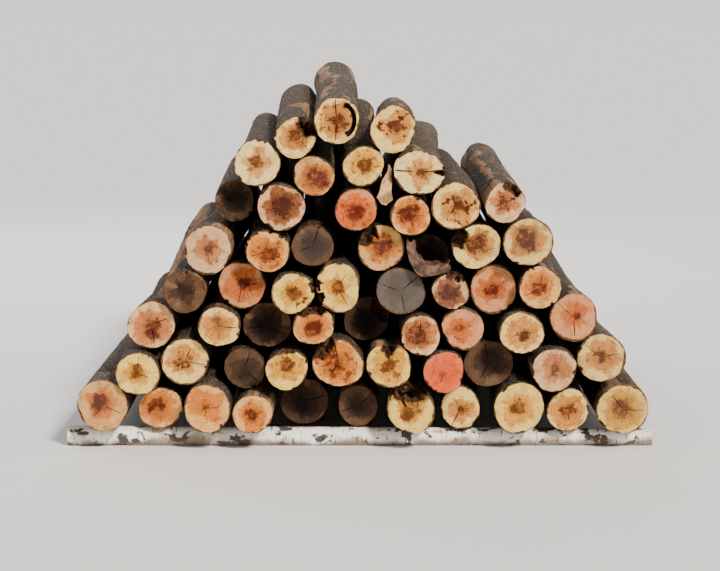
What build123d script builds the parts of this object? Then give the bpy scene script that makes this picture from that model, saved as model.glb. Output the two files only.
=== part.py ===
from build123d import *

import math
import os
import random

import numpy as np

# A stack of sawlogs on two skid poles. X runs along the face, Y along the logs and Z is up.
# The face that shows the near ends looks towards -Y.

# Driving dimensions in millimetres
log_length = 3760
taper = 7  # loss of diameter in each metre of log
butt_swell = 10  # growth of the diameter at a butt end
swell_length = 1150  # from a butt end to where its swell has run out
bend_range = (6, 32)  # how far a log strays from the line between its ends, where it bends
skew = 70  # the most that a log's far end starts to one side of its near end
oval_range = (0.01, 0.05)  # share of the radius
lobe_range = (0.005, 0.022)  # share of the radius
cut_slope = 0.022  # the most that a saw cut is out of square, as a slope

skid_length = 3340
skid_diameter = 112
skid_taper = 5  # loss of diameter in each metre of skid
front_skid_place = 260  # from the face to the skid's centre line
back_skid_place = 3330

seat_gap = 0.3  # left between two pieces that rest on each other

# Each log as (drop place along the face, diameter at half length, set-back of its near end, butt).
# The stack is laid from the bottom course up. Places are measured from one upright line of the face.
courses = [
    [
        (-835, 276, 60, "near"), (-545, 264, 160, "far"), (-265, 258, 30, "near"), (5, 246, 10, "far"),
        (300, 250, 330, "near"), (606, 252, 260, "far"), (905, 262, 20, "near"), (1190, 254, 190, "far"),
        (1480, 272, 45, "near"), (1775, 262, 140, "far"), (2070, 276, 70, "near"),
    ],
    [
        (-690, 268, 20, "far"), (-405, 256, 95, "near"), (-130, 252, 200, "far"), (145, 260, 30, "far"),
        (470, 268, 45, "near"), (750, 284, 0, "far"), (1040, 258, 25, "far"), (1330, 256, 210, "near"),
        (1620, 270, 15, "far"), (1915, 262, 100, "near"),
    ],
    [
        (-545, 258, 110, "near"), (-265, 252, 20, "far"), (10, 248, 240, "near"), (340, 250, 45, "far"),
        (600, 240, 360, "near"), (880, 250, 30, "far"), (1180, 226, 70, "near"), (1470, 264, 15, "far"),
        (1755, 256, 85, "near"),
    ],
    [
        (-400, 262, 35, "far"), (-125, 250, 180, "near"), (150, 256, 15, "far"), (500, 304, 20, "far"),
        (750, 256, 110, "near"), (1020, 232, 35, "far"), (1310, 256, 150, "near"), (1600, 262, 30, "far"),
    ],
    [
        (-260, 258, 85, "near"), (20, 264, 30, "far"), (340, 254, 75, "far"), (600, 246, 110, "near"),
        (870, 240, 330, "far"), (1150, 250, 60, "near"), (1440, 262, 20, "near"),
    ],
    [
        (-115, 252, 240, "far"), (150, 250, 25, "near"), (470, 258, 40, "far"), (700, 250, 15, "far"),
        (1020, 256, 40, "near"), (1300, 256, 10, "far"),
    ],
    [
        (10, 248, 50, "near"), (300, 250, 60, "far"), (600, 250, 60, "far"), (1040, 268, 25, "near"),
    ],
    [
        (170, 254, 15, "far"), (440, 282, 0, "far"), (790, 252, 40, "near"),
    ],
]

# Outlines that stand out. A dent is its heading from +X towards +Z and its half width, both in degrees,
# and its depth as a share of the radius. A squarish outline is given by how far its sides are flattened.
dents = {
    "log_07": [(80, 26, 0.16)],
    "log_15": [(90, 42, 0.15)],
    "log_16": [(35, 24, 0.08)],
    "log_17": [(90, 20, 0.24), (270, 44, 0.12)],
    "log_25": [(95, 38, 0.16)],
    "log_28": [(200, 30, 0.08)],
    "log_34": [(190, 44, 0.15), (355, 30, 0.12), (250, 16, 0.07)],
    "log_36": [(20, 30, 0.10)],
    "log_44": [(120, 30, 0.10)],
    "log_49": [(160, 24, 0.06)],
    "log_51": [(150, 26, 0.12), (330, 30, 0.09)],
    "log_55": [(90, 42, 0.13), (270, 44, 0.10)],
    "log_56": [(30, 26, 0.10)],
    "log_58": [(340, 30, 0.07)],
}
square_sides = {"log_18": 0.035}

outline_sides = 36
angles = np.linspace(0, 2 * math.pi, outline_sides, endpoint=False)
spokes = np.stack([np.cos(angles), np.sin(angles)], axis=1)

# The headings in which a section's reach is measured, one for each degree from +X towards +Z
headings = np.radians(np.arange(360))
compass = np.stack([np.cos(headings), np.sin(headings)], axis=1)


def outline(chance, log_dents, square):
    """The radius of a log's section at each corner, as a share of its mean radius."""
    shape = 1 + chance.uniform(*oval_range) * np.cos(2 * (angles - chance.uniform(0, math.pi)))
    shape += chance.uniform(*lobe_range) * np.cos(3 * (angles - chance.uniform(0, 2 * math.pi)))
    shape -= square * np.cos(4 * angles)
    for heading, half_width, depth in log_dents:
        turn = (np.degrees(angles) - heading + 180) % 360 - 180
        shape -= depth * np.exp(-((turn / half_width) ** 2))
    return shape


def make_log(name, diameter, set_back, butt):
    """A log with a section at each end and one where its butt's swell runs out, where it bends a little."""
    chance = random.Random(name)
    swell_end = swell_length / log_length
    along = np.array([0, swell_end if butt == "near" else 1 - swell_end, 1])
    from_butt = along if butt == "near" else 1 - along
    diameters = diameter + taper * log_length / 1000 * (0.5 - from_butt)
    diameters[0 if butt == "near" else 2] += butt_swell
    shape = outline(chance, dents.get(name, []), square_sides.get(name, 0))
    corners = (diameters / 2)[:, None, None] * shape[:, None] * spokes
    bend_turn = chance.uniform(0, 2 * math.pi)
    bend = chance.uniform(*bend_range) * np.array([math.cos(bend_turn), math.sin(bend_turn)])
    return {
        "name": name,
        "stations": set_back + along * log_length,
        "radii": diameters / 2,
        "corners": corners,
        "reach": (corners @ compass.T).max(axis=1),
        "bend": np.array([[0, 0], bend, [0, 0]]),
        "skew": chance.uniform(-skew, skew),
        "cut_turns": [chance.uniform(0, 2 * math.pi), 0, chance.uniform(0, 2 * math.pi)],
        "cut_slopes": [chance.uniform(0, cut_slope), 0, chance.uniform(0, cut_slope)],
    }


def between(stations, values, places):
    """The values of a log's stations, read at other places along it."""
    spans = np.clip(np.searchsorted(stations, places) - 1, 0, len(stations) - 2)
    share = (places - stations[spans]) / (stations[spans + 1] - stations[spans])
    share = share.reshape(share.shape + (1,) * (values.ndim - 1))
    return values[spans] * (1 - share) + values[spans + 1] * share


def skid_top(along_face):
    """The height of a skid's top line. A skid is thickest at the left."""
    return skid_diameter - skid_taper * (along_face - skid_left) / 1000


def pair_places(log, other):
    """Places along the logs where the gap between two of them is measured."""
    start = max(log["stations"][0], other["stations"][0])
    end = min(log["stations"][-1], other["stations"][-1])
    bends = np.clip([log["stations"][1], other["stations"][1]], start, end)
    return np.concatenate([np.linspace(start, end, 16), bends])


class Seat:
    """Finds how a log comes to rest on the skids and on the logs that are already laid."""

    def __init__(self, log, laid):
        ends = log["stations"][[0, -1]]
        self.skids = np.array([front_skid_place, back_skid_place], dtype=float)
        self.skid_share = (self.skids - ends[0]) / (ends[1] - ends[0])
        self.skid_bend = between(log["stations"], log["bend"], self.skids)
        self.skid_reach = between(log["stations"], log["reach"], self.skids)[:, 270]
        places = [pair_places(log, other) for other in laid]
        self.share = np.array([(p - ends[0]) / (ends[1] - ends[0]) for p in places])
        self.bend = np.array([between(log["stations"], log["bend"], p) for p in places])
        self.own = np.array([between(log["stations"], log["reach"], p) for p in places])
        self.centres = np.array(
            [between(o["stations"], o["centres"], p) for o, p in zip(laid, places)])
        self.theirs = np.array([between(o["stations"], o["reach"], p) for o, p in zip(laid, places)])
        self.spread = np.arange(-16, 17)

    def tightest(self, ends):
        """The smallest gap, the way out of it, and how far along the log it lies."""
        at_skids = ends[0] + (ends[1] - ends[0]) * self.skid_share[:, None] + self.skid_bend
        skid_gaps = at_skids[:, 1] - self.skid_reach - skid_top(at_skids[:, 0])
        nearest = int(skid_gaps.argmin())
        found = (skid_gaps[nearest], np.array([0.0, 1.0]), self.skid_share[nearest])
        if not len(self.share):
            return found
        at_logs = ends[0] + (ends[1] - ends[0]) * self.share[..., None] + self.bend
        apart = at_logs - self.centres
        heading = np.degrees(np.arctan2(apart[..., 1], apart[..., 0])).round().astype(int)
        tries = (heading[..., None] + self.spread) % 360
        gaps = apart[..., :1] * compass[tries, 0] + apart[..., 1:] * compass[tries, 1]
        gaps -= np.take_along_axis(self.theirs, tries, axis=2)
        gaps -= np.take_along_axis(self.own, (tries + 180) % 360, axis=2)
        best = gaps.max(axis=2)
        row, column = np.unravel_index(best.argmin(), best.shape)
        if best[row, column] > found[0]:
            return found
        way = tries[row, column, gaps[row, column].argmax()]
        return best[row, column], compass[way], self.share[row, column]

    def push_clear(self, ends, together, limit):
        """Moves a log out of what it overlaps, by as little as it takes."""
        for _ in range(60):
            gap, way, share = self.tightest(ends)
            short = seat_gap - gap
            if short < limit:
                return
            if together:
                ends += short * way
            else:
                pull = np.array([[1 - share], [share]])
                ends += short * way * pull / (pull ** 2).sum()

    def rest(self, ends):
        """Lowers a log in ever finer steps, pushed clear after each, so that it rolls to its seat."""
        for step, count, together in (
            (8, 250, True), (3, 30, False), (1, 30, False), (0.3, 25, False), (0.1, 20, False), (0.03, 20, False),
        ):
            for _ in range(count):
                before = ends.copy()
                ends[:, 1] -= step
                self.push_clear(ends, together, step / 20)
                if np.abs(ends - before).max() < step / 10:
                    break
        self.push_clear(ends, False, 0.002)
        return ends


def drop_height(log, place, laid):
    """A height from which a log comes down before it meets something."""
    own = log["radii"].max()
    height = skid_top(place) + own
    for other in laid:
        middle = other["centres"].mean(axis=0)
        both = own + other["radii"].max()
        aside = max(abs(middle[0] - place) - abs(log["skew"]), 0)
        if aside < both:
            height = max(height, middle[1] + math.sqrt(both ** 2 - aside ** 2))
    return height


def lay_logs():
    """Lays every log of every course on those before it."""
    laid = []
    for course in courses:
        for place, diameter, set_back, butt in course:
            log = make_log(f"log_{len(laid) + 1:02d}", diameter, set_back, butt)
            height = drop_height(log, place, laid)
            near = [
                other for other in laid
                if abs(other["centres"][:, 0].mean() - place) < 3 * diameter
                and other["centres"][:, 1].mean() > height - 3 * diameter
            ]
            start = np.array([[place, height], [place + log["skew"], height]])
            ends = Seat(log, near).rest(start)
            share = (log["stations"] - log["stations"][0]) / log_length
            log["centres"] = ends[0] + (ends[1] - ends[0]) * share[:, None] + log["bend"]
            laid.append(log)
    return laid


def side_points(log, index):
    """The corners of a section, in place along the face and above the ground."""
    return log["centres"][index] + log["corners"][index]


def sawn_ring(log, end, inside):
    """The corners of a sawn end. Each lies on its own edge of the log's side, so the side stays flat-faced."""
    turn, slope = log["cut_turns"][end], log["cut_slopes"][end]
    cut = slope * np.array([math.cos(turn), math.sin(turn)])
    run = log["stations"][end] - log["stations"][inside]
    ring = []
    for corner, outer, inner in zip(log["corners"][end], *(side_points(log, i) for i in (end, inside))):
        drift = cut @ (outer - inner) / run
        share = 1 + (cut @ corner) / (run * (1 - drift))
        x, z = inner + share * (outer - inner)
        ring.append((x, log["stations"][inside] + share * run, z))
    return ring


def log_solid(log):
    """The log as a solid, skinned over its sections, with each end sawn a little out of square."""
    middle = [(x, log["stations"][1], z) for x, z in side_points(log, 1)]
    rings = [sawn_ring(log, 0, 1), middle, sawn_ring(log, 2, 1)]
    faces = [Face(Wire.make_polygon(ring, close=True)) for ring in (rings[0], rings[2])]
    for near, far in zip(rings, rings[1:]):
        for this, following in zip(range(outline_sides), [*range(1, outline_sides), 0]):
            corners = [near[this], near[following], far[following], far[this]]
            faces.append(Face(Wire.make_polygon(corners, close=True)))
    return Solid(Shell(faces))


def skid_solid(place):
    """A skid pole, lying on the ground along the face. It is a little thinner at its right end."""
    sections = []
    for along in (0, skid_length):
        radius = (skid_diameter - skid_taper * along / 1000) / 2
        centre = Plane(origin=(skid_left + along, place, radius), z_dir=(1, 0, 0))
        sections.append(Wire([centre.from_local_coords(Edge.make_circle(radius))]))
    return Solid.make_loft(sections, ruled=True)


first_bottom_log, last_bottom_log = courses[0][0], courses[0][-1]
skid_left = (first_bottom_log[0] + last_bottom_log[0] - skid_length) / 2

laid_logs = lay_logs()
parts = {log["name"]: log_solid(log) for log in laid_logs}
parts["front_skid"] = skid_solid(front_skid_place)
parts["back_skid"] = skid_solid(back_skid_place)

# The origin is the middle of the stack's foot, on the ground
box = Compound(list(parts.values())).bounding_box()
middle = box.center()
origin = Location((-middle.X, -middle.Y, -box.min.Z))

os.makedirs("parts", exist_ok=True)
for name, solid in parts.items():
    export_step(solid.moved(origin), f"parts/{name}.step")
    print(name, "volume", round(solid.volume / 1e6, 1), "litres")
print("size", [round(v) for v in box.size], "logs", len(laid_logs))
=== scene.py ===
import math
import random
from types import SimpleNamespace

import bmesh
import bpy
import numpy as np
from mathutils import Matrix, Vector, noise


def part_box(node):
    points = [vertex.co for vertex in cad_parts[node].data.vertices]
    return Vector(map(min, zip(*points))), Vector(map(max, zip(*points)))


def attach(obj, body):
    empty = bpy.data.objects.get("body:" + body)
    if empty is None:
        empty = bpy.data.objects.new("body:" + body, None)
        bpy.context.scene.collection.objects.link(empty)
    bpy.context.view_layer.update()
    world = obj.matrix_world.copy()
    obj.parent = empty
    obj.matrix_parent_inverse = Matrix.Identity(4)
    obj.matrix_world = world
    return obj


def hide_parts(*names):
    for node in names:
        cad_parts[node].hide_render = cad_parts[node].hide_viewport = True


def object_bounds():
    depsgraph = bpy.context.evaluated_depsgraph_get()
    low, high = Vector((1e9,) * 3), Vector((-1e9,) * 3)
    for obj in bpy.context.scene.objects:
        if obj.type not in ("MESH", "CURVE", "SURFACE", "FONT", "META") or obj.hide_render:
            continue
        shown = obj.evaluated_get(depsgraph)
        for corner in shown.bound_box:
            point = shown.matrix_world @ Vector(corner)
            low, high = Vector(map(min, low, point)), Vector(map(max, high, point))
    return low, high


# Dresses a stack of logs. Each log is a copy of a blank that gets its own bark, cracks and wood
# tones, and is then fitted to the outline of its solid. +Y runs along the logs, away from the face

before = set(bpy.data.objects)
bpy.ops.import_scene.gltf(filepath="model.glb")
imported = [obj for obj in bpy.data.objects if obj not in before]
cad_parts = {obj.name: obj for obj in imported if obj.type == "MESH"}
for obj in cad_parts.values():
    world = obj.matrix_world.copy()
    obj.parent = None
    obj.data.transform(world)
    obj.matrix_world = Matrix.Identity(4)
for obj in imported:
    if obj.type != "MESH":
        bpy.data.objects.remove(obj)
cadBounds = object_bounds()
fullTurn = 2 * math.pi
creaseAngle = math.radians(48)  # sharper edges stay sharp
hair = 0.001  # counts as no distance


def linear(red, green, blue):  # a display colour, 0 to 255, as the shaders take it
    shares = [channel / 255 for channel in (red, green, blue)]
    return tuple(s / 12.92 if s < 0.04045 else ((s + 0.055) / 1.055) ** 2.4 for s in shares) + (1.0,)


class Wire:  # wraps a shader socket, so that shader maths reads as plain sums
    def __init__(self, tree, socket=None):
        self.tree = tree
        self.socket = socket

    def node(self, kind, values=None, out=0, **settings):
        made = self.tree.nodes.new(f"ShaderNode{kind}")
        for name, setting in settings.items():
            setattr(made, name, setting)
        for place, value in (values or {}).items():
            if isinstance(value, Wire):
                self.tree.links.new(value.socket, made.inputs[place])
            else:
                made.inputs[place].default_value = value
        return Wire(self.tree, made.outputs[out] if made.outputs else None)

    def maths(self, operation, first, second=0.0):
        return self.node("Math", {0: first, 1: second}, operation=operation)

    def __add__(self, other):
        return self.maths("ADD", self, other)

    __radd__ = __add__

    def __sub__(self, other):
        return self.maths("SUBTRACT", self, other)

    def __rsub__(self, other):
        return self.maths("SUBTRACT", other, self)

    def __mul__(self, other):
        return self.maths("MULTIPLY", self, other)

    __rmul__ = __mul__

    def __pow__(self, other):
        return self.maths("POWER", self, other)


def newFinish(name):
    material = bpy.data.materials.new(name)
    material.use_nodes = True
    material.node_tree.nodes.clear()
    return material, Wire(material.node_tree)


def step(value, low, high):  # 0 below low, 1 above high, smooth between
    return value.node("MapRange", {0: value, 1: low, 2: high}, interpolation_type="SMOOTHSTEP")


def blend(amount, first, second, kind="MIX"):
    return amount.node("Mix", {0: amount, 6: first, 7: second}, out=2, data_type="RGBA", blend_type=kind)


def attribute(start, name, out=0):  # out 0 reads a colour, 1 a vector and 2 a number
    return start.node("Attribute", out=out, attribute_name=name)


def axis(vector, index):
    return vector.node("SeparateXYZ", {0: vector}, out=index)


def stretched(vector, scale):
    return vector.node("VectorMath", {0: vector, 1: scale}, operation="MULTIPLY")


def grainy(vector, scale, detail=3.0, seed=0.0, rough=0.55):
    values = {"Vector": vector, "W": seed, "Scale": scale, "Detail": detail, "Roughness": rough}
    return vector.node("TexNoise", values, noise_dimensions="4D")


def close(start, colour, roughness, height, distance, specular):
    bump = start.node("Bump", {"Height": height, "Distance": distance, "Strength": 1.0})
    shader = start.node("BsdfPrincipled", {
        "Base Color": colour, "Roughness": roughness, "Normal": bump, "Specular IOR Level": specular})
    start.node("OutputMaterial", {"Surface": shader})


# Sawn ends: pale sapwood round a heart with a ragged dark core, rings, star checks and saw marks
sawnWood = {
    "ringWidth": 0.0062,
    "bandWidth": 0.019,  # runs of darker rings
    "ringDark": (0.62, 0.44, 0.29, 1.0),
    "sawPitch": 0.0042,
    # crack: painted shade, near black, in the cracks and ring splits
    "crack": linear(24, 16, 11),
    # stain: darker sectors in the sapwood, out from the pith
    "stain": linear(132, 104, 78),
    "grey": linear(88, 80, 74),
    "grime": (0.52, 0.39, 0.27, 1.0),
    "rim": linear(70, 44, 28),
    # torn: broken wood, darkened with painted shade; tornInShade: near-black painted shade among its fibres
    "torn": linear(112, 72, 44),
    "tornInShade": linear(34, 22, 15),
    "relief": 0.0013,
}


def readEnd(start):  # what the finish of a sawn end reads from the log
    end = SimpleNamespace()
    end.place = start.node("UVMap", uv_map="endMap")
    end.around = start.node("TexCoord", out="Object")
    traits, zones = attribute(start, "traits", 1), attribute(start, "zones", 1)
    end.perRadius, end.star, end.weather = (axis(traits, index) for index in range(3))
    end.heartShare, end.coreShare, end.spots = (axis(zones, index) for index in range(3))
    end.seed, end.crack, end.torn, end.rimShare = (
        attribute(start, name, 2) for name in ("seed", "crack", "torn", "rimShare"))
    end.sap, end.heart, end.core = (attribute(start, name) for name in ("sapTone", "heartTone", "coreTone"))
    return end


def layPatterns(start, end):  # noise, rings and saw marks, read outwards from the pith
    heading = start.node("VectorMath", {0: end.place}, operation="NORMALIZE")
    end.length = start.node("VectorMath", {0: end.place}, out=1, operation="LENGTH")
    end.share = end.length * end.perRadius
    end.lobes = grainy(heading, 1.3, 2, end.seed)
    end.ragged = grainy(end.place, 42, 5, end.seed + 2, 0.65)
    end.drift = grainy(end.place, 11, 3, end.seed + 9)
    end.rays = grainy(heading, 6.5, 5, end.seed + 7, 0.7)
    end.stains = grainy(heading, 1.6, 3, end.seed + 3)
    end.blotches = grainy(end.place, 20, 5, end.seed + 5, 0.62)
    end.specks = grainy(end.place, 160, 3, end.seed + 6)
    end.grit = grainy(end.place, 260, 3, end.seed)
    end.fibres = grainy(stretched(end.around, (1.0, 0.05, 1.0)), 120, 4, end.seed)

    reach = end.length + (grainy(end.place, 14, 3, end.seed) - 0.5) * 0.014
    ringWave = start.maths("SINE", reach * (fullTurn / sawnWood["ringWidth"]))
    bandWave = start.maths("SINE", reach * (fullTurn / sawnWood["bandWidth"]) + end.lobes * 3)
    end.rings = (ringWave * 0.5 + 0.5) ** 2.2
    end.bands = (bandWave * 0.5 + 0.5) ** 2
    values = {"W": reach * 60 + end.seed, "Detail": 1.0}
    end.ringStrength = start.node("TexNoise", values, noise_dimensions="1D")
    flat, upright = axis(end.place, 0), axis(end.place, 1)
    sawLine = (flat * 0.5 + upright + end.length * end.length * 1.2) * (fullTurn / sawnWood["sawPitch"])
    end.saw = start.maths("SINE", sawLine + end.blotches * 5)


def colourWood(end):  # sapwood, heart and core, with uneven edges, the marks that grew in them, and darker sectors in the sapwood
    uneven = (end.lobes - 0.5) * 0.9 + (end.ragged - 0.5) * 0.35 + (end.rays - 0.5) * 0.3
    inHeart = step(end.heartShare * 1.12 - end.share - uneven * 1.3, -0.08, 0.06)
    coreUneven = (end.drift - 0.5) * 2.2 + (end.ragged - 0.5) * 1.1 + (end.rays - 0.5) * 0.8
    inCore = step(end.coreShare - end.share - coreUneven * 0.75, -0.05, 0.06)
    nearCore = step(end.coreShare * 1.5 - end.share - coreUneven * 0.4, -0.1, 0.12)
    inStar = step(end.rays, 0.52, 0.6) * step(end.heartShare * 1.1 - end.share, 0.0, 0.3) * end.star
    inSpot = step(grainy(end.place, 26, 2, end.seed + 11), 0.56, 0.62) * inHeart * end.spots
    # darker sectors of the sapwood, out from the pith
    inDarkSector = step(end.stains + (end.ragged - 0.5) * 0.3, 0.54, 0.7) * (1 - inHeart)

    colour = blend(inHeart * (0.55 + end.drift * 0.8), end.sap, end.heart)
    colour = blend(nearCore * 0.35, colour, end.core)
    mottled = blend(0.35 + step(end.ragged, 0.3, 0.6) * 0.65, end.heart, end.core)
    colour = blend(inCore * 0.95, colour, blend(step(end.blotches, 0.38, 0.58), mottled, end.core))
    colour = blend(inSpot, colour, end.core)
    colour = blend(end.rings * end.ringStrength * 0.8, colour, sawnWood["ringDark"], "MULTIPLY")
    colour = blend(end.bands * 0.35, colour, sawnWood["ringDark"], "MULTIPLY")
    colour = blend(inDarkSector * 0.55, colour, sawnWood["stain"])
    return blend(inStar * 0.75, colour, end.core)


def wearEnd(end, colour):  # grime, weathering, a dark rim, cracks painted near black as their shade, torn fibres darkened with painted shade, and saw marks
    colour = blend(step(end.blotches, 0.42, 0.72) * 0.6, colour, sawnWood["grime"], "MULTIPLY")
    colour = blend(step(end.specks, 0.56, 0.7) * 0.45, colour, sawnWood["grime"], "MULTIPLY")
    colour = blend(end.weather * (0.5 + end.blotches), colour, sawnWood["grey"])
    atRim = step(end.rimShare + (end.ragged - 0.5) * 0.06, 0.93, 0.99)
    colour = blend(atRim * 0.6, colour, sawnWood["rim"])
    # cracks and splits painted near black as their shade
    colour = blend(step(end.crack, 0.05, 0.6), colour, sawnWood["crack"])
    # broken places: torn fibres darkened with painted shade
    splinters = blend(step(end.fibres, 0.38, 0.66), sawnWood["tornInShade"], sawnWood["torn"])
    colour = blend(step(end.torn, 0.12, 0.4), colour, splinters)
    return blend(step(end.saw, 0.2, 1.0) * 0.16, colour, sawnWood["grime"], "MULTIPLY")


def makeSawnFinish():
    material, start = newFinish("sawn_wood")
    end = readEnd(start)
    layPatterns(start, end)
    colour = wearEnd(end, colourWood(end))
    height = end.saw * 0.3 + end.rings * 0.35 + end.grit * 0.9 + end.fibres * end.torn * 3
    close(start, colour, 0.76 + end.blotches * 0.2, height, sawnWood["relief"], 0.22)
    return material


# The bark on a log's side, with long scrapes down to the wood and the odd knot
barkFinish = {
    "stretch": (1.0, 0.2, 1.0),  # plates are drawn out along the log
    "plates": 44.0,  # in a metre
    "shade": (0.5, 0.45, 0.41, 1.0),
    "streak": (0.5, 0.42, 0.36, 1.0),
    # fissureAndShade: dark inner bark in the fissures, and painted shade where the bark is carved deepest
    "fissureAndShade": linear(38, 28, 21),
    "lichen": linear(134, 128, 114),
    "rust": linear(128, 84, 54),
    "bare": linear(178, 136, 96),
    "bareDark": linear(106, 72, 48),
    "knot": linear(34, 24, 17),
    "innerDark": linear(58, 38, 26),  # seen at a log's end
    "innerLight": linear(124, 82, 52),
    "relief": 0.0034,
    "innerRelief": 0.002,
}


def makeBarkFinish():
    material, start = newFinish("bark")
    place = start.node("TexCoord", out="Object")
    tone = attribute(start, "barkTone")
    relief = attribute(start, "relief", 2)
    bare = attribute(start, "bare", 2)
    drawn = stretched(place, barkFinish["stretch"])
    stray = stretched(drawn.node("TexNoise", {"Vector": drawn, "Scale": 30.0}, out=1), (0.02, 0.02, 0.02))
    bent = drawn.node("VectorMath", {0: drawn, 1: stray}, operation="ADD")
    pattern = {"Vector": bent, "Scale": barkFinish["plates"]}
    plates = bent.node("TexVoronoi", pattern, feature="DISTANCE_TO_EDGE")
    plateTone = axis(bent.node("TexVoronoi", pattern, out="Color"), 0)
    cleft = 1 - step(plates, 0.0, 0.16)
    flakes = grainy(drawn, 120, 4)
    patches = grainy(stretched(place, (1.0, 0.4, 1.0)), 5.5, 4)
    streaks = grainy(stretched(place, (1.0, 0.03, 1.0)), 55, 5, 0.0, 0.65)
    knots = 1 - step(place.node("TexVoronoi", {"Vector": place, "Scale": 4.2}), 0.05, 0.1)

    colour = blend(plateTone * 0.5, tone, barkFinish["shade"], "MULTIPLY")
    colour = blend(step(patches, 0.48, 0.7) * 0.45, colour, barkFinish["rust"])
    colour = blend(step(flakes, 0.4, 0.75) * 0.5, colour, barkFinish["lichen"])
    colour = blend(step(streaks, 0.5, 0.72) * 0.4, colour, barkFinish["streak"], "MULTIPLY")
    # darker where the carving is deepest and along plate edges: the fissures' own dark with painted shade in
    # the hollows
    colour = blend(step(relief + cleft * 0.5, 0.35, 1.1) * 0.85, colour, barkFinish["fissureAndShade"])
    scraped = step(bare + (streaks - 0.5) * 1.3 + (flakes - 0.5) * 0.3, 0.44, 0.62)
    wood = blend(step(streaks, 0.35, 0.68), barkFinish["bare"], barkFinish["bareDark"])
    wood = blend(step(patches, 0.4, 0.65) * 0.5, wood, colour)
    colour = blend(scraped, colour, wood)
    colour = blend(knots * 0.9, colour, barkFinish["knot"])
    height = (1 - cleft) * (1 - scraped) + flakes * 0.6 + streaks * 0.4 - knots * 1.5
    close(start, colour, 0.82 + flakes * 0.14, height, barkFinish["relief"], 0.2)
    return material


def makeBarkEdgeFinish():
    material, start = newFinish("bark_edge")
    place = start.node("TexCoord", out="Object")
    layers = grainy(place, 90, 4)
    colour = blend(step(layers, 0.38, 0.66), barkFinish["innerDark"], barkFinish["innerLight"])
    close(start, colour, 0.85 + layers * 0.1, layers, barkFinish["innerRelief"], 0.2)
    return material


# The skids: pale papery bark, scarred black and dirty at the foot
paleBark = {
    "paper": linear(252, 248, 240),
    "shade": linear(226, 214, 196),
    "mark": linear(36, 30, 26),
    "under": linear(190, 138, 98),
    "dirt": linear(112, 84, 62),
    "dirtHeight": 0.042,
    "relief": 0.0026,
}


def makePaleBarkFinish():
    material, start = newFinish("pale_bark")
    place = start.node("TexCoord", out="Object")
    upright = axis(place, 2)
    dashes = step(grainy(stretched(place, (1.0, 0.2, 0.2)), 70, 3), 0.6, 0.65)
    scars = step(grainy(stretched(place, (0.75, 1.0, 1.0)), 13, 5, 2.0, 0.6), 0.535, 0.575)
    clouds = grainy(place, 6, 4)
    peel = step(grainy(stretched(place, (0.5, 1.0, 1.0)), 11, 5, 4.0), 0.57, 0.62)
    muddy = step(paleBark["dirtHeight"] - upright + (clouds - 0.5) * 0.2, -0.02, 0.03)
    colour = blend(step(clouds, 0.35, 0.7), paleBark["paper"], paleBark["shade"])
    colour = blend(peel * 0.8, colour, paleBark["under"])
    colour = blend(dashes * 0.85, colour, paleBark["mark"])
    colour = blend(scars * 0.95, colour, paleBark["mark"])
    colour = blend(muddy * 0.8, colour, paleBark["dirt"])
    height = clouds * 0.5 - dashes * 0.4 - peel * 0.6 - scars * 0.7
    close(start, colour, 0.55 + clouds * 0.25, height, paleBark["relief"], 0.3)
    return material


# Split wood: the grain runs along the billet, and across the face along the slab
freshSplit = {
    "name": "fresh_split_wood",
    "light": linear(236, 196, 136),
    "dark": linear(176, 116, 62),
    "stain": linear(96, 60, 36),
    "turn": 0.0,
    "stretch": (1.0, 0.05, 1.0),
    "relief": 0.003,
}
weatheredSplit = {
    "name": "weathered_split_wood",
    "light": linear(130, 98, 78),
    "dark": linear(64, 46, 37),
    "stain": linear(38, 28, 22),
    "turn": math.radians(-42),
    "stretch": (0.10, 0.5, 1.0),
    "relief": 0.003,
}


def makeSplitFinish(wood):
    material, start = newFinish(wood["name"])
    place = start.node("TexCoord", out="Object")
    turned = place.node("Mapping", {"Vector": place, "Rotation": (0, wood["turn"], 0)})
    fibres = grainy(stretched(turned, wood["stretch"]), 110, 5, 0.0, 0.65)
    clouds = grainy(place, 16, 4, 3.0)
    colour = blend(step(fibres, 0.36, 0.68), wood["light"], wood["dark"])
    colour = blend(step(clouds, 0.44, 0.62) * 0.75, colour, wood["stain"])
    close(start, colour, 0.75 + clouds * 0.15, fibres + clouds * 0.4, wood["relief"], 0.22)
    return material


bark, barkEdge = makeBarkFinish(), makeBarkEdgeFinish()
sawn, pale = makeSawnFinish(), makePaleBarkFinish()
print("finishes made")


def pick(piece, kind, wanted):  # selects in edit mode what passes the test
    bpy.ops.mesh.select_mode(type=kind)
    bpy.ops.mesh.select_all(action="DESELECT")
    shape = bmesh.from_edit_mesh(piece.data)
    for part in (shape.faces if kind == "FACE" else shape.edges):
        part.select_set(wanted(part))
    bmesh.update_edit_mesh(piece.data)


def readPoints(mesh):
    flat = np.empty(len(mesh.vertices) * 3)
    mesh.vertices.foreach_get("co", flat)
    return flat.reshape(-1, 3)


# The blank that every log starts as, lying along Y about the origin
blankLog = {
    "sides": 96,
    "radius": 0.13,
    "length": 3.76,
    "shownRings": 88,  # along a log whose bark shows
    "hiddenRings": 30,
    "barkWidth": 0.009,
    "ringWidths": (0.009, 0.014, 0.017, 0.018, 0.018, 0.018, 0.015),  # inwards over a sawn end
}
blankRadius, blankLength, blankSides = (blankLog[key] for key in ("radius", "length", "sides"))
skinRadius = blankRadius * 0.999  # points further out are on the skin
endRings = blankRadius - np.cumsum((0, blankLog["barkWidth"]) + blankLog["ringWidths"])


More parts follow.
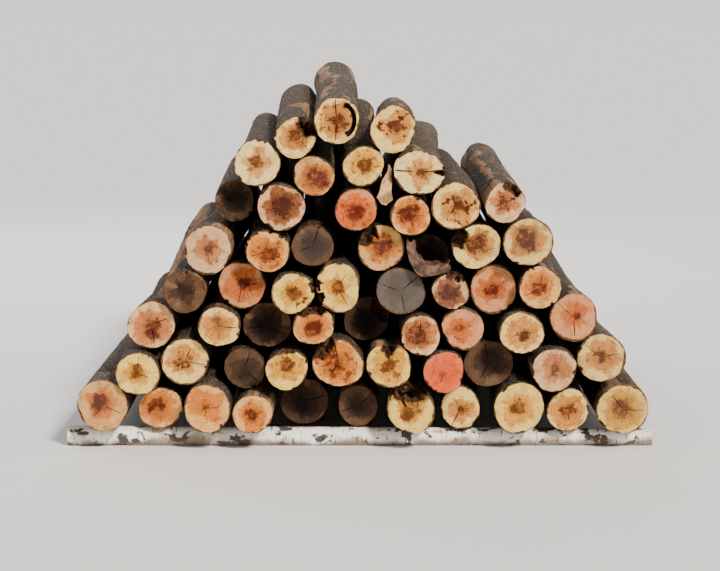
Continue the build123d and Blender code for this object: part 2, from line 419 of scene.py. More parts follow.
def modelBlank(name, rings):
    bpy.ops.object.select_all(action="DESELECT")
    bpy.ops.mesh.primitive_cylinder_add(
        vertices=blankSides, radius=blankRadius, depth=blankLength, end_fill_type="NGON",
        rotation=(math.pi / 2, 0, 0))
    blank = bpy.context.active_object
    blank.name = name
    bpy.ops.object.transform_apply(location=False, rotation=True, scale=False)
    bpy.ops.object.mode_set(mode="EDIT")
    pick(blank, "EDGE", lambda edge: abs(edge.verts[0].co.y - edge.verts[1].co.y) > blankRadius)
    bpy.ops.mesh.subdivide(number_cuts=rings - 1)
    pick(blank, "FACE", lambda face: abs(face.normal.y) > 0.9)
    bpy.ops.mesh.inset(thickness=blankLog["barkWidth"])
    for width in blankLog["ringWidths"]:
        bpy.ops.mesh.inset(thickness=width)
    bpy.ops.mesh.poke()
    bpy.ops.object.mode_set(mode="OBJECT")
    for material in (bark, barkEdge, sawn):
        blank.data.materials.append(material)
    for face in blank.data.polygons:
        if abs(face.normal.y) > 0.9:
            out = math.hypot(face.center.x, face.center.z)
            face.material_index = 1 if out > blankRadius - blankLog["barkWidth"] else 2
    skin = blank.vertex_groups.new(name="skin")
    onSkin = [v.index for v in blank.data.vertices if math.hypot(v.co.x, v.co.z) > skinRadius]
    skin.add(onSkin, 1.0, "REPLACE")
    return blank


blanks = {True: modelBlank("blankShown", blankLog["shownRings"]),
          False: modelBlank("blankHidden", blankLog["hiddenRings"])}
print("blank logs modelled:", [len(b.data.polygons) for b in blanks.values()], "faces")

# Bark relief. It only goes inwards, so that a log stays within its solid
barkRelief = {
    "plateSize": 0.05,
    "plateDepth": 0.0065,
    "waveSize": 0.3,
    "waveDepth": 0.004,
    "stretch": 3.4,  # along the log
    "amount": (0.75, 1.0),  # least and most share of a depth that a log gets
    "bareDepth": 0.0062,
    "bareScale": (9.0, 0.8),  # patches a metre, round the log and along it
    "bareEdgeScale": (18, 4),
    "bareAmounts": (-0.4, -0.3, -0.2, -0.1, 0.05),  # a log with more is barer
    "bareFrom": 0.12,
    "bareFade": 0.16,
}


def newTexture(name, kind, **settings):
    texture = bpy.data.textures.new(name, kind)
    for key, setting in settings.items():
        setattr(texture, key, setting)
    return texture


plateTexture = newTexture("plates", "VORONOI", noise_scale=barkRelief["plateSize"],
                          weight_1=-1.0, weight_2=1.0, noise_intensity=1.8)
waveTexture = newTexture("waves", "CLOUDS", noise_scale=barkRelief["waveSize"], noise_depth=3)
bpy.ops.object.empty_add()
grainGuide = bpy.context.active_object
grainGuide.name = "grainGuide"
grainGuide.scale = (1.0, barkRelief["stretch"], 1.0)


def carveBark(piece, chance):
    grainGuide.location = [chance.uniform(-40, 40) for _ in range(3)]
    bpy.ops.object.select_all(action="DESELECT")
    piece.select_set(True)
    bpy.context.view_layer.objects.active = piece
    for texture, depth in ((plateTexture, barkRelief["plateDepth"]), (waveTexture, barkRelief["waveDepth"])):
        carve = piece.modifiers.new("carve", "DISPLACE")
        carve.texture = texture
        carve.texture_coords = "OBJECT"
        carve.texture_coords_object = grainGuide
        carve.strength = depth * chance.uniform(*barkRelief["amount"])
        carve.mid_level = 1.0
        carve.vertex_group = "skin"
        bpy.ops.object.modifier_apply(modifier=carve.name)


# Wood tones as (sapwood, heart, core)
woodTones = {
    "cream": ((255, 220, 130), (216, 146, 68), (88, 34, 11)),
    "paleCream": ((255, 226, 152), (222, 160, 82), (100, 48, 19)),
    "yellowCream": ((253, 216, 112), (226, 162, 58), (104, 50, 14)),
    "orangeTan": ((242, 184, 108), (222, 130, 50), (90, 28, 8)),
    "salmon": ((230, 158, 106), (208, 112, 54), (94, 27, 10)),
    "redOrange": ((242, 118, 68), (236, 98, 48), (166, 50, 26)),
    "flame": ((230, 150, 96), (218, 108, 48), (100, 25, 8)),
    "pinkish": ((244, 198, 144), (206, 130, 72), (84, 30, 13)),
    "maroon": ((238, 188, 136), (146, 84, 46), (72, 28, 14)),
    "greyed": ((114, 102, 94), (94, 82, 74), (64, 52, 44)),
    # darkened: dark old wood on some ends, and painted shade on the deep-set ends
    "darkened": ((98, 70, 48), (72, 48, 32), (40, 26, 18)),
    # rotten: painted shade, near black, on deep-set ends that stand for the dark gaps in the face
    "rotten": ((74, 54, 38), (52, 37, 26), (24, 16, 12)),
}
pithOffset = 0.014  # the most that the pith lies off the middle, across and up
barkTones = ((102, 90, 78), (88, 76, 66), (114, 98, 82), (96, 76, 60), (78, 68, 60))

# The near ends: wood tone, the heart's and the core's shares of the radius, star, spots, greyness.
# A crack is (heading in degrees from +X towards +Z, length as a share of the radius, half width)
# The deep-set ends log_05, log_06, log_14, log_19, log_24, log_26, log_43 and log_46 take tones of painted
# shade
nearEnds = {
    "log_56": ("cream", 0.58, 0.36, 0.6, 0.3, 0.0, [(60, 0.6, 0.004)]),
    "log_57": ("cream", 0.70, 0.34, 0.5, 0.8, 0.0,
               [(92, 0.9, 0.007), (268, 0.8, 0.006), (180, 0.4, 0.003)]),
    "log_58": ("cream", 0.55, 0.20, 0.7, 1.0, 0.0, [(150, 0.5, 0.004)]),
    "log_55": ("paleCream", 0.50, 0.16, 0.9, 0.5, 0.0,
               [(4, 0.97, 0.012), (176, 0.9, 0.011), (120, 0.5, 0.004)]),
    "log_54": ("yellowCream", 0.55, 0.20, 0.4, 0.6, 0.0, []),
    "log_53": ("orangeTan", 0.72, 0.42, 0.9, 0.6, 0.1, [(80, 0.5, 0.004)]),
    "log_52": ("paleCream", 0.50, 0.22, 0.5, 0.4, 0.0, []),
    "log_51": ("pinkish", 0.55, 0.26, 1.0, 0.8, 0.05, [(30, 0.6, 0.005), (200, 0.5, 0.004)]),
    "log_50": ("cream", 0.68, 0.22, 0.8, 1.0, 0.0, [(100, 0.4, 0.004)]),
    "log_49": ("orangeTan", 0.74, 0.34, 0.9, 0.5, 0.0, [(280, 0.4, 0.004)]),
    "log_48": ("flame", 0.74, 0.30, 0.7, 0.5, 0.0, [(300, 0.4, 0.004)]),
    "log_47": ("maroon", 0.72, 0.42, 0.8, 0.6, 0.0, [(190, 0.5, 0.004)]),
    "log_46": ("rotten", 0.60, 0.30, 0.6, 0.4, 0.0, [(30, 0.8, 0.004), (170, 0.7, 0.005)]),
    "log_44": ("cream", 0.55, 0.32, 0.7, 0.6, 0.05, []),
    "log_43": ("rotten", 0.60, 0.30, 0.6, 0.5, 0.0, [(80, 0.9, 0.005), (220, 0.8, 0.004)]),
    "log_42": ("orangeTan", 0.66, 0.34, 0.7, 0.7, 0.1, []),
    "log_41": ("darkened", 0.60, 0.34, 1.0, 0.6, 0.2, [(70, 0.9, 0.005), (200, 0.6, 0.004)]),
    "log_40": ("orangeTan", 0.66, 0.30, 0.8, 0.6, 0.0, [(200, 0.7, 0.005), (20, 0.5, 0.004)]),
    "log_37": ("salmon", 0.50, 0.26, 0.5, 0.4, 0.0, []),
    "log_36": ("maroon", 0.66, 0.30, 1.0, 0.6, 0.15, []),
    "log_35": ("greyed", 0.55, 0.25, 0.8, 0.5, 0.6,
               [(40, 0.9, 0.005), (160, 0.7, 0.004), (280, 0.8, 0.005)]),
    "log_34": ("yellowCream", 0.45, 0.16, 0.5, 0.6, 0.0, [(300, 0.7, 0.005), (60, 0.5, 0.004)]),
    "log_33": ("yellowCream", 0.58, 0.26, 1.0, 1.0, 0.0, [(90, 0.4, 0.004)]),
    "log_28": ("salmon", 0.50, 0.20, 0.4, 0.4, 0.0, []),
    "log_27": ("pinkish", 0.72, 0.46, 1.0, 0.5, 0.0, [(95, 0.6, 0.005)]),
    "log_26": ("rotten", 0.60, 0.30, 0.6, 0.5, 0.0, [(130, 0.8, 0.005), (10, 0.9, 0.004)]),
    "log_25": ("orangeTan", 0.66, 0.34, 0.7, 0.8, 0.0, []),
    "log_24": ("rotten", 0.60, 0.30, 0.8, 0.5, 0.0, [(60, 0.9, 0.005), (190, 0.8, 0.005)]),
    "log_18": ("redOrange", 0.62, 0.14, 0.8, 0.3, 0.06, [(250, 0.4, 0.004)]),
    "log_17": ("yellowCream", 0.66, 0.24, 0.6, 0.8, 0.0, [(90, 0.9, 0.007)]),
    "log_16": ("orangeTan", 0.74, 0.36, 1.0, 0.7, 0.0, [(100, 0.8, 0.007), (235, 0.6, 0.005)]),
    "log_15": ("yellowCream", 0.60, 0.20, 0.7, 0.5, 0.0, [(45, 0.5, 0.004)]),
    "log_07": ("yellowCream", 0.50, 0.26, 0.5, 0.4, 0.05, []),
    "log_19": ("darkened", 0.60, 0.30, 0.8, 0.5, 0.1, [(100, 0.9, 0.006), (240, 0.7, 0.005)]),
    "log_14": ("darkened", 0.60, 0.30, 0.6, 0.4, 0.1, [(70, 0.8, 0.005), (310, 0.7, 0.004)]),
    "log_06": ("darkened", 0.60, 0.30, 0.6, 0.4, 0.1, [(40, 0.7, 0.004), (200, 0.9, 0.005)]),
    "log_05": ("rotten", 0.60, 0.30, 0.6, 0.4, 0.0,
               [(20, 0.8, 0.005), (150, 0.9, 0.004), (260, 0.7, 0.004)]),
    "log_04": ("orangeTan", 0.60, 0.28, 0.6, 0.5, 0.0, []),
}

# Where the near end is broken off: heading, half width in degrees, inner edge as a share, depth
bites = {
    "log_56": [(44, 44, 0.40, 0.16)],
    "log_07": [(94, 66, 0.26, 0.20)],
    "log_17": [(88, 26, 0.42, 0.14)],
    "log_16": [(140, 38, 0.55, 0.14)],
    "log_34": [(174, 16, 0.72, 0.09), (212, 14, 0.66, 0.10), (30, 20, 0.86, 0.05)],
    "log_51": [(60, 36, 0.52, 0.12)],
    "log_44": [(158, 34, 0.48, 0.14)],
    "log_42": [(138, 40, 0.50, 0.12)],
    "log_25": [(100, 52, 0.62, 0.09)],
    "log_15": [(92, 38, 0.80, 0.07)],
    "log_36": [(70, 36, 0.55, 0.10)],
    "log_26": [(30, 44, 0.50, 0.10)],
    "log_55": [(3, 6, 0.55, 0.06), (120, 30, 0.86, 0.05)],
    "log_18": [(225, 26, 0.84, 0.07), (40, 14, 0.88, 0.05)],
    "log_40": [(70, 30, 0.84, 0.06)],
    "log_33": [(20, 22, 0.82, 0.06)],
    "log_47": [(130, 20, 0.84, 0.05)],
}
# A split round a ring: heading, half width in degrees, place as a share of the radius, half gap
ringSplits = {"log_57": (4, 66, 0.75, 0.011)}


def randomEnd(chance):  # gives what the table of near ends holds for one
    tone = chance.choices(list(woodTones), weights=(5, 4, 5, 6, 3, 0, 1, 4, 2, 1, 1, 0))[0]
    start = chance.uniform(0, 360)
    cracks = [
        (start + turn * chance.uniform(95, 150), chance.uniform(0.3, 0.9), chance.uniform(0.003, 0.006))
        for turn in range(chance.choice((0, 1, 2, 2, 3)))
    ]
    heart = chance.uniform(0.42, 0.72)
    core = heart * chance.uniform(0.25, 0.6)
    star, spots = chance.uniform(0.3, 1.0), chance.uniform(0.0, 0.6)
    return tone, heart, core, star, spots, chance.choice((0, 0, 0.05, 0.2)), cracks


def randomChips(chance):  # small places where the bark and the rim are knocked off an end
    ranges = ((0, 360), (5, 18), (0.84, 0.93), (0.01, 0.05))  # in the order of the table above
    return [[chance.uniform(*ends) for ends in ranges] for _ in range(chance.choice((1, 2, 3, 4)))]


endLean = 0.02  # more than a sawn end leans


def readOutline(node):  # the corners of a solid log's three sections, in order round it
    points = np.unique(readPoints(node.data).round(5), axis=0)
    low, high = points[:, 1].min() + endLean, points[:, 1].max() - endLean
    sections = []
    for start, end in ((-np.inf, low), (low, high), (high, np.inf)):
        section = points[(points[:, 1] > start) & (points[:, 1] < end)]
        off = section - section.mean(axis=0)
        turn = np.degrees(np.arctan2(off[:, 2], off[:, 0]))
        count = len(section)
        sections.append(section[np.argsort(np.round(turn * count / 360).astype(int) % count)])
    return np.array(sections)


def between(sections, along):  # reads three sections at shares of the way along the log
    middles = sections.mean(axis=1)[:, 1] if sections.ndim == 3 else sections[:, 1]
    bend = (middles[1] - middles[0]) / (middles[2] - middles[0])
    near = (along / bend)[:, None]
    far = ((along - bend) / (1 - bend))[:, None]
    first, second, third = sections
    return np.where(near < 1, first + (second - first) * near, second + (third - second) * far)


def setAttribute(mesh, name, kind, values):
    made = mesh.attributes.new(name, kind, "POINT")
    key = {"FLOAT": "value", "FLOAT_VECTOR": "vector", "FLOAT_COLOR": "color"}[kind]
    made.data.foreach_set(key, np.ascontiguousarray(values, dtype=np.float32).ravel())


def window(turn, heading, halfWidth):  # 1 at a heading in degrees, 0 past half a width from it
    off = np.degrees(turn) - heading
    edge = halfWidth * 0.35
    return np.clip((halfWidth - np.abs((off + 180) % 360 - 180)) / edge, 0, 1)


def waviness(log, point, roundScale, alongScale=1):  # smooth noise that is different on every log
    x, y, z = point
    return noise.noise((x * roundScale + log.shift, y * alongScale, z * roundScale))


def startLog(name, shown, chance):  # a carved copy of a blank, with arrays that describe its points
    piece = bpy.data.objects.new(f"dressed_{name}", blanks[shown].data.copy())
    piece.vertex_groups.new(name="skin")
    bpy.context.scene.collection.objects.link(piece)
    plain = readPoints(piece.data)
    carveBark(piece, chance)
    carved = readPoints(piece.data)

    log = SimpleNamespace(name=name, piece=piece, plain=plain, shift=chance.uniform(-90, 90))
    log.turn = np.arctan2(plain[:, 2], plain[:, 0]) % fullTurn
    log.out = np.hypot(plain[:, 0], plain[:, 2])
    log.along = plain[:, 1] / blankLength + 0.5
    log.onSkin = log.out > skinRadius
    log.onEnds = [~log.onSkin & (log.along < 0.5), ~log.onSkin & (log.along > 0.5)]
    log.depth = np.where(log.onSkin, blankRadius - np.hypot(carved[:, 0], carved[:, 2]), 0)
    log.recess = np.where(log.onSkin, np.maximum(blankLength / 2 - np.abs(carved[:, 1]), 0), 0)
    log.recess[np.abs(plain[:, 1]) < blankLength / 2 - hair] = 0
    log.bare, log.crack, log.torn = (np.zeros(len(plain)) for _ in range(3))
    return log


def scrapeBark(log, chance):  # patches where the bark is off
    amount = chance.choice(barkRelief["bareAmounts"])
    for index in np.flatnonzero(log.onSkin):
        point = log.plain[index]
        wave = waviness(log, point, *barkRelief["bareScale"])
        wave += 0.4 * waviness(log, point, *barkRelief["bareEdgeScale"])
        log.bare[index] = wave + amount
    log.bare = np.clip((log.bare - barkRelief["bareFrom"]) / barkRelief["bareFade"], 0, 1) * log.onSkin
    log.depth = log.depth * (1 - log.bare) + barkRelief["bareDepth"] * log.bare


# Wear of the ends. Scales are in waves a metre, or a radius for the bark's width
endWear = {
    "barkScales": (1.7, 7),
    "barkUnevenness": 1.3,
    "barkShares": (0.45, 2.1),  # least and most of the blank's bark width
    "crackEdgeDepth": 0.004,
    "crackDepth": 0.018,  # added to it towards the pith
    "crackTaper": 0.6,
    "roughScale": 22,
    "roughDepth": 0.0022,
    "splitRings": ((2, 1), (3, 0.7), (4, -0.7), (5, -1)),  # (ring, its place across half the gap)
    "splitLip": 0.002,  # added to half the gap
    "splitDepth": 0.05,
    "raggedScale": 34,
    "raggedTurn": 0.3,
    "raggedOut": 0.12,
    "raggedDepth": (0.85, 0.5),  # share of a broken place's depth, and how much it varies
    "brokenFade": 0.1,  # share of the radius over which a broken place deepens
    "skinSqueeze": 0.96,  # skin that is pushed back keeps the rest of its distance from the end
}


def varyBarkWidth(log):  # the bark is thicker and thinner round an end
    width = blankLog["barkWidth"]
    least, most = endWear["barkShares"]
    broad, fine = endWear["barkScales"]
    innerEdge = ~log.onSkin & (log.out > blankRadius - width * 1.1)
    for index in np.flatnonzero(innerEdge):
        point = log.plain[index] / blankRadius
        wave = waviness(log, point, broad) + 0.5 * waviness(log, point, fine)
        log.out[index] = blankRadius - width * min(max(1.0 + wave * endWear["barkUnevenness"], least), most)


def openCrack(log, onThis, spokes, crack):  # a groove along a spoke, with its neighbours drawn in to it
    heading, share, halfWidth = crack
    own = round(heading / 360 * blankSides) % blankSides
    reach = share * blankRadius
    within = onThis & (log.out < reach) & (log.out > hair)
    groove = within & (spokes == own)
    fade = 1 - (log.out[groove] / reach) ** 2
    # the groove is painted near black as its shade
    log.crack[groove] = 1
    log.recess[groove] = endWear["crackEdgeDepth"] + endWear["crackDepth"] * fade
    for side in (-1, 1):
        lip = within & (spokes == (own + side) % blankSides)
        width = halfWidth * (1 - endWear["crackTaper"] * log.out[lip] / reach)
        spacing = np.minimum(width / log.out[lip], fullTurn / blankSides)
        log.turn[lip] = (own * fullTurn / blankSides + side * spacing) % fullTurn


def roughenEnds(log, ends):  # cracks, and a surface that isn't quite flat
    spokes = np.round(log.turn / fullTurn * blankSides).astype(int) % blankSides
    for onThis, end in zip(log.onEnds, ends):
        for crack in end[-1]:
            openCrack(log, onThis, spokes, crack)
        log.recess[onThis] += [
            endWear["roughDepth"] * (1 + waviness(log, point, endWear["roughScale"]))
            for point in log.plain[onThis]
        ]


def splitRing(log):  # opens a gap between two rings of the near end
    heading, halfWidth, share, gap = ringSplits[log.name]
    fade = window(log.turn, heading, halfWidth) * log.onEnds[0]
    for ring, place in endWear["splitRings"]:
        fits = (np.abs(log.out - endRings[ring]) < hair) & (fade > 0)
        goal = share * blankRadius + place * (gap + endWear["splitLip"])
        log.out[fits] += (goal - log.out[fits]) * fade[fits]
        if abs(place) < 1:
            # the gap is painted near black as its shade
            log.crack[fits] = np.minimum(fade[fits] * 2, 1)
            log.recess[fits] += endWear["splitDepth"] * fade[fits]


def breakEnds(log, chance):  # an end goes back over part of its face, and the skin with it
    scale, shift = endWear["raggedScale"], log.shift
    rough = np.array([noise.noise((x * scale + shift, z * scale, shift)) for x, y, z in log.plain])
    share, variation = endWear["raggedDepth"]
    ragged = share + rough * variation
    places = [[*bites.get(log.name, []), *randomChips(chance)], randomChips(chance)]
    fromEnds = (log.along * blankLength, (1 - log.along) * blankLength)
    for onThis, fromEnd, broken in zip(log.onEnds, fromEnds, places):
        for heading, halfWidth, inner, depth in broken:
            angled = window(log.turn + rough * endWear["raggedTurn"], heading, halfWidth)
            past = log.out / blankRadius + rough * endWear["raggedOut"] - inner
            fade = angled * np.clip(past / endWear["brokenFade"], 0, 1) * onThis
            log.recess = np.maximum(log.recess, fade * depth * ragged)
            log.torn = np.maximum(log.torn, fade)
            pushed = depth * angled * ragged * log.onSkin - fromEnd * endWear["skinSqueeze"]
            short = pushed > log.recess
            log.recess[short] = pushed[short]


def fitLog(log):  # to the outline of its solid
    sections = readOutline(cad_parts[log.name])
    count = sections.shape[1]
    place = log.turn / fullTurn * count
    corner = np.floor(place).astype(int)
    part = (place - corner)[:, None]
    edges = sections[:, corner % count] * (1 - part) + sections[:, (corner + 1) % count] * part
    skin = between(edges, log.along)
    centre = between(sections.mean(axis=1), log.along)
    log.spread = np.linalg.norm(skin - centre, axis=1)
    keep = np.where(log.onSkin, 1 - log.depth / log.spread, log.out / blankRadius)[:, None]
    points = centre + (skin - centre) * keep
    points[:, 1] += log.recess * np.where(log.along < 0.5, 1, -1)
    log.piece.data.vertices.foreach_set("co", points.ravel())
    log.fromCentre = (points - centre)[:, [0, 2]]


def markLog(log, ends, chance):  # what the finishes read
    mesh = log.piece.data
    count = len(log.plain)
    sap, heart, core, traits, zones, seed, pith = (
        np.zeros((count, width)) for width in (4, 4, 4, 3, 3, 1, 2))
    for half, end in zip((log.along < 0.5, log.along >= 0.5), ends):
        tone, heartShare, coreShare, star, spots, grey, _ = end
        sap[half], heart[half], core[half] = (linear(*colour) for colour in woodTones[tone])
        traits[half] = (1 / log.spread[half].mean(), star, grey)
        zones[half] = (heartShare, coreShare, spots)
        seed[half] = chance.uniform(0, 400)
        pith[half] = [chance.uniform(-pithOffset, pithOffset) for _ in range(2)]
    barkTone = np.tile(linear(*chance.choice(barkTones)), (count, 1))
    deepest = barkRelief["plateDepth"] + barkRelief["waveDepth"]
    # relief: how deep the bark is carved, which the bark finish paints as shade
    relief = np.clip(log.depth / deepest, 0, 1) * (1 - log.bare)
    marks = {
        "FLOAT_COLOR": {"sapTone": sap, "heartTone": heart, "barkTone": barkTone, "coreTone": core},
        "FLOAT_VECTOR": {"traits": traits, "zones": zones},
        "FLOAT": {"rimShare": log.out / blankRadius, "torn": log.torn, "seed": seed, "crack": log.crack,
                  "bare": log.bare, "relief": relief},
    }
    for kind, named in marks.items():
        for name, values in named.items():
            setAttribute(mesh, name, kind, values)
    mapEnds(mesh, log.fromCentre - pith)


def mapEnds(mesh, flat):  # the rings are read from this map, in metres from the pith
    corners = np.empty(len(mesh.loops), dtype=int)
    mesh.loops.foreach_get("vertex_index", corners)
    for layer in list(mesh.uv_layers):
        mesh.uv_layers.remove(layer)
    endMap = mesh.uv_layers.new(name="endMap")
    endMap.data.foreach_set("uv", flat[corners].astype(np.float32).ravel())


def dressLog(name, shown):
    chance = random.Random(name)
    log = startLog(name, shown, chance)
    scrapeBark(log, chance)
    varyBarkWidth(log)
    ends = [nearEnds.get(name) or randomEnd(chance), randomEnd(chance)]
    roughenEnds(log, ends)
    if name in ringSplits:
        splitRing(log)
    breakEnds(log, chance)
    fitLog(log)
    markLog(log, ends, chance)

    piece = log.piece
    piece.data.update()
    bpy.ops.object.shade_smooth_by_angle(angle=creaseAngle)
    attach(piece, "root")
    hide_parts(name)
    return piece


logNames = sorted(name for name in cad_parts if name.startswith("log_"))
logMiddles = {name: (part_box(name)[0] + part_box(name)[1]) / 2 for name in logNames}

# A log's bark is hidden when enough other logs lie within reach of it
openBark = {"reach": 0.36, "enough": 6, "bottomHeight": 0.35, "enoughAtBottom": 4}


def isShown(name):
    here = logMiddles[name]
    others = [middle for other, middle in logMiddles.items() if other != name]
    near = [math.hypot(here.x - other.x, here.z - other.z) < openBark["reach"] for other in others]
    return sum(near) < openBark["enoughAtBottom" if here.z < openBark["bottomHeight"] else "enough"]


shownLogs = [name for name in logNames if isShown(name)]
triangles = 0
for name in logNames:
    piece = dressLog(name, name in shownLogs)
    triangles += sum(len(face.vertices) - 2 for face in piece.data.polygons)
print("logs dressed:", len(logNames), "with open bark:", len(shownLogs), "triangles:", triangles)

skids = {
    "names": ("front_skid", "back_skid"),
    "sides": 48,
    "rings": 150,
    "taper": 0.005,  # loss of diameter in each metre
    "ringWidths": (0.004, 0.012, 0.014, 0.012),
}


def modelSkid(name):
    low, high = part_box(name)
    radius, length = (high.z - low.z) / 2, high.x - low.x
    middleY = (low.y + high.y) / 2
    thin = 1 - skids["taper"] * length / 2 / radius
    bpy.ops.object.select_all(action="DESELECT")
    bpy.ops.mesh.primitive_cylinder_add(
        vertices=skids["sides"], radius=radius, depth=length, end_fill_type="NGON",
        location=((low.x + high.x) / 2, middleY, radius), rotation=(0, math.pi / 2, 0))
    skid = bpy.context.active_object
    skid.name = f"pale_{name}"
    bpy.ops.object.transform_apply(location=True, rotation=True, scale=False)
    bpy.ops.object.mode_set(mode="EDIT")
    pick(skid, "FACE", lambda face: face.normal.x > 0.9)
    bpy.ops.transform.resize(value=(1, thin, thin), center_override=(high.x, middleY, radius))
    bpy.ops.transform.translate(value=(0, 0, radius * (thin - 1)))
    pick(skid, "EDGE", lambda edge: abs(edge.verts[0].co.x - edge.verts[1].co.x) > length / 2)
    bpy.ops.mesh.subdivide(number_cuts=skids["rings"] - 1)
    pick(skid, "FACE", lambda face: abs(face.normal.x) > 0.9)
    for width in skids["ringWidths"]:
        bpy.ops.mesh.inset(thickness=width)
    bpy.ops.mesh.poke()
    bpy.ops.object.mode_set(mode="OBJECT")
    skid.data.materials.append(pale)
    bpy.ops.object.shade_smooth_by_angle(angle=creaseAngle)
    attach(skid, "root")
    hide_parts(name)


for name in skids["names"]:
    modelSkid(name)
print("skids modelled")

# Two broken pieces on the face: a pale billet, split off lengthwise, that has dropped between four
# logs near the top, and a weathered slab that lies in the hollow before a deep-set log. Outlines are
# as seen from the front, across and up
billet = {
    "name": "split_billet",
    "finish": freshSplit,
    "outline": ((0.090, 1.440), (0.118, 1.400), (0.146, 1.393), (0.187, 1.424), (0.178, 1.47),
                (0.183, 1.52), (0.178, 1.56), (0.181, 1.60), (0.158, 1.625), (0.150, 1.58),
                (0.118, 1.53), (0.106, 1.47)),
    "slant": (0.0, 0.3),  # how far the broken end leans back, across and up
    "front": -2.034,
    "length": 0.52,
    "taper": 0.72,  # size of the far end
    "cuts": 22,
    "fine": 1,
    "roughSize": 0.03,
    "roughDepth": 0.006,
}
slab = {
    "name": "weathered_slab",
    "finish": weatheredSplit,
    "outline": ((0.257, 1.192), (0.268, 1.212), (0.284, 1.188), (0.304, 1.212), (0.319, 1.172),
                (0.312, 1.146), (0.334, 1.104), (0.352, 1.096), (0.366, 1.066), (0.412, 1.058),
                (0.436, 1.070), (0.470, 1.062), (0.504, 1.090), (0.498, 1.066), (0.515, 1.050),
                (0.500, 1.025), (0.455, 1.0075), (0.405, 0.996), (0.344, 0.988), (0.305, 1.0165),
                (0.273, 1.080), (0.2575, 1.140)),
    "slant": (-0.16, 0.12),
    "front": -2.012,
    "length": 0.25,
    "taper": 1.0,
    "cuts": 10,
    "fine": 2,
    "roughSize": 0.035,
    "roughDepth": 0.009,
}
brokenEdges = {"bevel": 0.004, "long": 0.2, "crease": math.radians(40)}


def roughen(piece, broken):
    modifier = piece.modifiers.new("roughen", "DISPLACE")
    modifier.texture = newTexture("splinters", "CLOUDS", noise_scale=broken["roughSize"], noise_depth=4)
    modifier.texture_coords = "OBJECT"
    modifier.texture_coords_object = grainGuide
    modifier.strength = broken["roughDepth"]
    modifier.mid_level = 1.0
    bpy.ops.object.modifier_apply(modifier=modifier.name)


def modelBroken(broken):
    outline = broken["outline"]
    bpy.ops.object.select_all(action="DESELECT")
    bpy.ops.mesh.primitive_circle_add(vertices=len(outline), radius=0.05, fill_type="NGON")
    piece = bpy.context.active_object
    piece.name = broken["name"]
    low = [min(point[k] for point in outline) for k in (0, 1)]
    high = [max(point[k] for point in outline) for k in (0, 1)]
    slant = broken["slant"]
    for vertex, (across, up) in zip(piece.data.vertices, outline):
        back = (across - low[0]) * slant[0] + (up - low[1]) * slant[1]
        vertex.co = (across, broken["front"] + back, up)
    bpy.ops.object.mode_set(mode="EDIT")
    bpy.ops.mesh.select_all(action="SELECT")
    bpy.ops.mesh.extrude_region_move(TRANSFORM_OT_translate={"value": (0, broken["length"], 0)})
    centre = ((low[0] + high[0]) / 2, broken["front"] + broken["length"], (low[1] + high[1]) / 2)
    bpy.ops.transform.resize(value=(broken["taper"], 1, broken["taper"]), center_override=centre)
    bpy.ops.mesh.select_all(action="SELECT")
    bpy.ops.mesh.bevel(offset=brokenEdges["bevel"], segments=2)
    pick(piece, "EDGE", lambda edge: abs(edge.verts[0].co.y - edge.verts[1].co.y) > brokenEdges["long"])
    bpy.ops.mesh.subdivide(number_cuts=broken["cuts"])
    bpy.ops.mesh.select_all(action="SELECT")
    bpy.ops.mesh.quads_convert_to_tris()
    bpy.ops.mesh.subdivide(number_cuts=broken["fine"])
    bpy.ops.mesh.normals_make_consistent(inside=False)
    bpy.ops.object.mode_set(mode="OBJECT")
    roughen(piece, broken)
    piece.data.materials.append(makeSplitFinish(broken["finish"]))
    bpy.ops.object.shade_smooth_by_angle(angle=brokenEdges["crease"])
    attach(piece, "root")


for broken in (billet, slab):
    modelBroken(broken)
print("broken pieces modelled")
for blank in blanks.values():
    bpy.data.objects.remove(blank)
bpy.data.objects.remove(grainGuide)

studio = {
    "floorSize": 600,
    "floorTone": (0.90, 0.89, 0.875, 1.0),
    "floorGrain": (0.7, 0.69, 0.67, 1.0),
    "skyTone": (0.96, 0.96, 0.97, 1.0),
    "sky": 0.45,
    "lowSky": 0.75,  # more light low down, all round
    "sun": {"from": (0.42, -0.76, 0.62), "distance": 12, "strength": 5.2, "angle": 8,
            "color": (1.0, 0.95, 0.87)},
    "back": {"location": (-4.0, 10.0, 8.0), "size": 5.0, "energy": 500, "color": (1.0, 0.97, 0.93)},
}


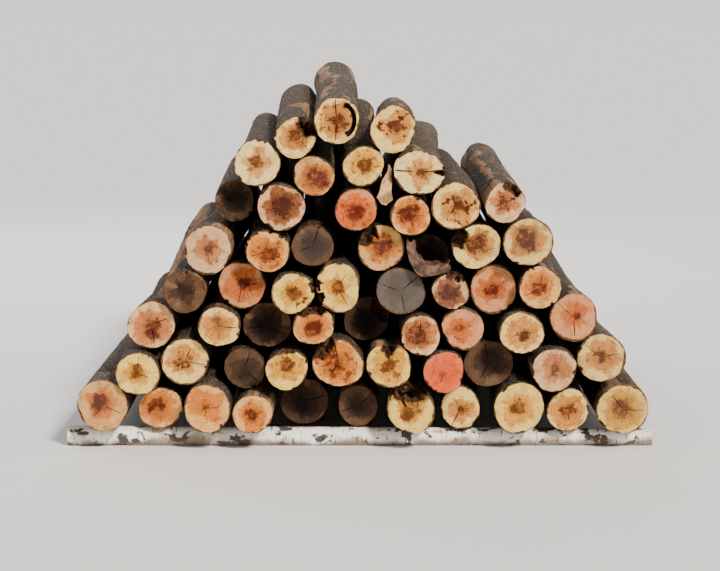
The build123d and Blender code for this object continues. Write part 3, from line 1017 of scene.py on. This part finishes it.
def layFloor():
    bpy.ops.object.select_all(action="DESELECT")
    bpy.ops.mesh.primitive_plane_add(size=studio["floorSize"])
    floor = bpy.context.active_object
    floor.name = "floor"
    material, start = newFinish("floor")
    grain = grainy(start.node("TexCoord", out="Object"), 2.0, 3)
    colour = blend(grain * 0.06, studio["floorTone"], studio["floorGrain"])
    close(start, colour, 0.85 + grain * 0.05, grain, 0.001, 0.2)
    floor.data.materials.append(material)


def lightSky():
    world = bpy.data.worlds.new("studio")
    world.use_nodes = True
    world.node_tree.nodes.clear()
    sky = Wire(world.node_tree)
    height = axis(sky.node("TexCoord", out="Generated"), 2)
    strength = studio["sky"] + studio["lowSky"] * (1 - step(height, 0.02, 0.5))
    sky.node("OutputWorld", {"Surface": sky.node("Background", {0: studio["skyTone"], 1: strength})})
    bpy.context.scene.world = world


def aim(item, target):
    item.rotation_euler = (item.location - target).to_track_quat("Z", "Y").to_euler()


def addSun(middle):
    settings = studio["sun"]
    place = [middle[k] + settings["from"][k] * settings["distance"] for k in range(3)]
    bpy.ops.object.light_add(type="SUN", location=place)
    sun = bpy.context.active_object
    sun.name = "sun"
    sun.data.energy = settings["strength"]
    sun.data.angle = math.radians(settings["angle"])
    sun.data.color = settings["color"]
    aim(sun, middle)


def addBackLight(middle):
    settings = studio["back"]
    bpy.ops.object.light_add(type="AREA", location=settings["location"])
    lamp = bpy.context.active_object
    lamp.name = "back"
    lamp.data.size = settings["size"]
    lamp.data.energy = settings["energy"]
    lamp.data.color = settings["color"]
    aim(lamp, middle)


view = {"distance": 14.2, "height": 2.6, "aimHeight": 0.95, "lens": 128, "farthest": 200}


def placeCamera(middle):
    face = cadBounds[0].y
    bpy.ops.object.camera_add(location=(0.0, face - view["distance"], view["height"]))
    camera = bpy.context.active_object
    camera.data.lens = view["lens"]
    camera.data.clip_end = view["farthest"]
    target = middle.copy()
    target.y, target.z = face, view["aimHeight"]
    aim(camera, target)
    bpy.context.scene.camera = camera


stackMiddle = (cadBounds[0] + cadBounds[1]) / 2
layFloor()
lightSky()
addSun(stackMiddle)
addBackLight(stackMiddle)
placeCamera(stackMiddle)
print("studio and camera set")
